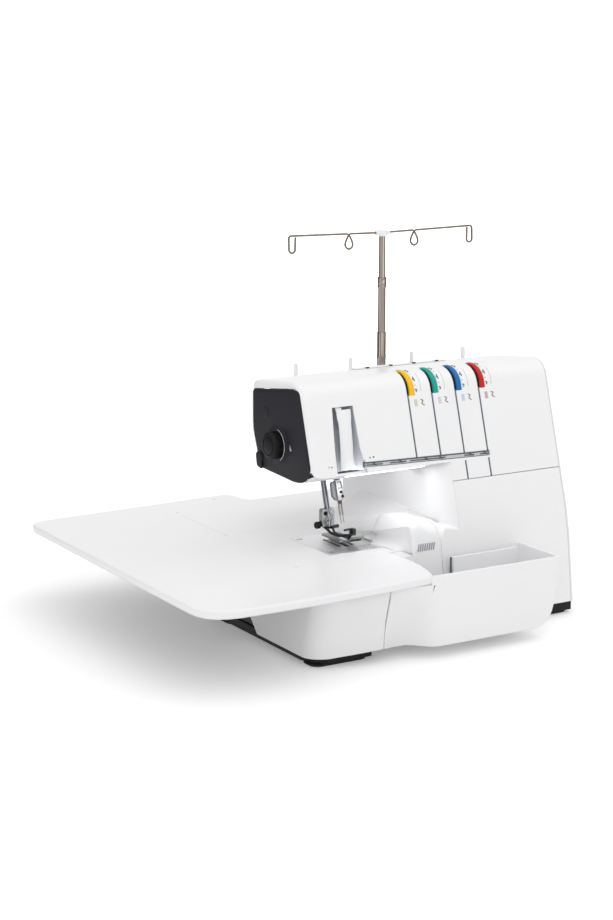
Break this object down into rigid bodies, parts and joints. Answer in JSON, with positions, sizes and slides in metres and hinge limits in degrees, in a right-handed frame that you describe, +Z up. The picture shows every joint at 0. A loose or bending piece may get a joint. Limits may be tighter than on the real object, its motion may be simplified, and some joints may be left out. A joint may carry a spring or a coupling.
{
  "type": "serger overlock sewing machine",
  "caption": "White tabletop overlock machine with a leaning face, coloured thread tension dials, telescopic thread guide, looper cover, waste tray and slide-on extension table.",
  "frame": {"origin": "middle of the bottom of the whole machine's bounding box, on the floor plane under the feet", "axes": "+Z up; +X from the needle end of the arm towards the handwheel; -Y towards the operator"},
  "size_m": [0.51, 0.4296, 0.4059],
  "materials": {
    "white_cover": "white moulded plastic, soft gloss",
    "white_table": "white moulded plastic, satin top",
    "charcoal_cover": "charcoal moulded plastic, fine matt grain",
    "black_plastic": "black moulded plastic",
    "dark_grey_frame": "dark grey moulded plastic",
    "rubber": "black rubber",
    "cast_metal": "bare die-cast",
    "bright_steel": "bright plated steel",
    "needle_plate": "satin steel",
    "dark_steel": "dark plated steel",
    "rod_chrome": "polished tube",
    "guide_wire": "polished wire",
    "lamp_lens": "clear lamp cover",
    "dial_yellow": "yellow moulded plastic",
    "dial_green": "green moulded plastic",
    "dial_blue": "blue moulded plastic",
    "dial_red": "red moulded plastic"
  },
  "bodies": {
    "machine": {"base_pan": "black_plastic", "foot_front_left": "rubber", "foot_front_right": "rubber", "foot_rear_left": "rubber", "foot_rear_right": "rubber", "inner_frame": "cast_metal", "motor": "dark_steel", "drive_belt": "rubber", "upper_front_cover": "white_cover", "upper_rear_cover": "white_cover", "arm_underside_cover": "white_cover", "lamp_lens": "lamp_lens", "thread_guide_strip": "dark_steel", "end_cap": "charcoal_cover", "thread_guide_rail": "white_cover", "takeup_guard": "white_cover", "needle_plate": "needle_plate", "bed_casing": "white_cover", "bed_skirt": "dark_grey_frame", "throat_wall": "white_cover", "front_panel": "white_cover", "lower_rear_cover": "white_cover", "right_side_cover": "white_cover", "power_inlet": "black_plastic", "lower_front_cover": "white_cover", "spool_stand": "white_cover", "spool_pin_1": "white_cover", "spool_pin_2": "white_cover", "spool_pin_3": "white_cover", "spool_pin_4": "white_cover", "rod_lower": "rod_chrome"},
    "extension_table": {"extension_table": "white_table"},
    "waste_tray": {"waste_tray": "white_cover"},
    "looper_cover": {"looper_cover": "white_cover"},
    "drive": {"main_shaft": "bright_steel", "handwheel": "white_cover"},
    "motor_rotor": {"motor_pulley": "bright_steel"},
    "needle_assembly": {"needle_bar": "dark_steel", "needle_clamp": "bright_steel", "needle_left": "bright_steel", "needle_right": "bright_steel"},
    "presser_bar_assembly": {"presser_bar": "bright_steel", "foot_holder": "bright_steel"},
    "presser_foot": {"presser_foot": "bright_steel"},
    "presser_lifter": {"presser_lifter": "white_cover"},
    "upper_knife": {"upper_knife": "bright_steel"},
    "lower_looper": {"lower_looper": "bright_steel"},
    "upper_looper": {"upper_looper": "bright_steel"},
    "feed_dogs": {"feed_dogs": "dark_steel"},
    "takeup_lever": {"takeup_lever": "bright_steel"},
    "power_switch": {"power_switch": "black_plastic"},
    "pressure_knob": {"pressure_knob": "black_plastic"},
    "tension_dial_1": {"tension_dial_1": "dial_yellow"},
    "tension_dial_2": {"tension_dial_2": "dial_green"},
    "tension_dial_3": {"tension_dial_3": "dial_blue"},
    "tension_dial_4": {"tension_dial_4": "dial_red"},
    "rod_middle": {"rod_middle": "rod_chrome"},
    "rod_upper": {"rod_upper": "rod_chrome"},
    "guide_bar": {"guide_bar": "guide_wire"}
  },
  "joints": [
    {"name": "table_slide", "type": "slide", "parent": "machine", "child": "extension_table", "axis": [-1, 0, 0], "range_m": [0, 0.12]},
    {"name": "tray_slide", "type": "slide", "parent": "machine", "child": "waste_tray", "axis": [0, -1, 0], "range_m": [0, 0.08]},
    {"name": "looper_cover_hinge", "type": "hinge", "parent": "machine", "child": "looper_cover", "pos_m": [-0.011, -0.13579, 0.022], "axis": [1, 0, 0], "range_deg": [0, 20]},
    {"name": "handwheel_turn", "type": "hinge", "parent": "machine", "child": "drive", "pos_m": [0.241, -0.03379, 0.11], "axis": [1, 0, 0], "continuous": true},
    {"name": "motor_turn", "type": "hinge", "parent": "machine", "child": "motor_rotor", "pos_m": [0.199, 0.02621, 0.058], "axis": [1, 0, 0], "continuous": true},
    {"name": "needle_bar_stroke", "type": "slide", "parent": "machine", "child": "needle_assembly", "axis": [0, 0.2807, 0.9598], "range_m": [-0.026, 0.001]},
    {"name": "presser_bar_lift", "type": "slide", "parent": "machine", "child": "presser_bar_assembly", "axis": [0, 0.2807, 0.9598], "range_m": [0, 0.006]},
    {"name": "presser_foot_tilt", "type": "hinge", "parent": "presser_bar_assembly", "child": "presser_foot", "pos_m": [-0.011, -0.03379, 0.098], "axis": [1, 0, 0], "range_deg": [-2, 0]},
    {"name": "presser_lifter_turn", "type": "hinge", "parent": "machine", "child": "presser_lifter", "pos_m": [-0.031, 0.01321, 0.195], "axis": [1, 0, 0], "range_deg": [0, 40]},
    {"name": "upper_knife_stroke", "type": "slide", "parent": "machine", "child": "upper_knife", "axis": [0, 0, 1], "range_m": [-0.008, 0.002]},
    {"name": "lower_looper_swing", "type": "hinge", "parent": "machine", "child": "lower_looper", "pos_m": [-0.027, -0.06779, 0.047], "axis": [0, 1, 0], "range_deg": [-10, 12]},
    {"name": "upper_looper_swing", "type": "hinge", "parent": "machine", "child": "upper_looper", "pos_m": [0.015, -0.07579, 0.047], "axis": [0, 1, 0], "range_deg": [-12, 10]},
    {"name": "feed_dog_stroke", "type": "slide", "parent": "machine", "child": "feed_dogs", "axis": [0, 1, 0], "range_m": [-0.003, 0.003]},
    {"name": "takeup_lever_swing", "type": "hinge", "parent": "machine", "child": "takeup_lever", "pos_m": [-0.0295, -0.08065, 0.22], "axis": [1, 0, 0], "range_deg": [-12, 3]},
    {"name": "power_switch_rock", "type": "hinge", "parent": "machine", "child": "power_switch", "pos_m": [0.23, 0.02721, 0.067], "axis": [0, 1, 0], "range_deg": [-4, 4]},
    {"name": "pressure_knob_turn", "type": "hinge", "parent": "machine", "child": "pressure_knob", "pos_m": [-0.081, -0.03699, 0.201], "axis": [-1, 0, 0], "range_deg": [-135, 135]},
    {"name": "tension_dial_1_turn", "type": "hinge", "parent": "machine", "child": "tension_dial_1", "pos_m": [0.0515, -0.0644, 0.24884], "axis": [1, 0, 0], "range_deg": [-160, 160]},
    {"name": "tension_dial_2_turn", "type": "hinge", "parent": "machine", "child": "tension_dial_2", "pos_m": [0.0815, -0.0644, 0.24884], "axis": [1, 0, 0], "range_deg": [-160, 160]},
    {"name": "tension_dial_3_turn", "type": "hinge", "parent": "machine", "child": "tension_dial_3", "pos_m": [0.1115, -0.0644, 0.24884], "axis": [1, 0, 0], "range_deg": [-160, 160]},
    {"name": "tension_dial_4_turn", "type": "hinge", "parent": "machine", "child": "tension_dial_4", "pos_m": [0.1415, -0.0644, 0.24884], "axis": [1, 0, 0], "range_deg": [-160, 160]},
    {"name": "rod_middle_slide", "type": "slide", "parent": "machine", "child": "rod_middle", "axis": [0, 0, 1], "range_m": [-0.049, 0]},
    {"name": "rod_upper_slide", "type": "slide", "parent": "rod_middle", "child": "rod_upper", "axis": [0, 0, 1], "range_m": [-0.044, 0]},
    {"name": "guide_bar_swivel", "type": "hinge", "parent": "rod_upper", "child": "guide_bar", "pos_m": [0.111, 0.05621, 0.402], "axis": [0, 0, 1], "range_deg": [-90, 90]}
  ],
  "couplings": [
    {"joint": "motor_turn", "follows": "handwheel_turn", "ratio": 3},
    {"joint": "presser_lifter_turn", "follows": "presser_bar_lift", "rad_per_m": 116}
  ]
}
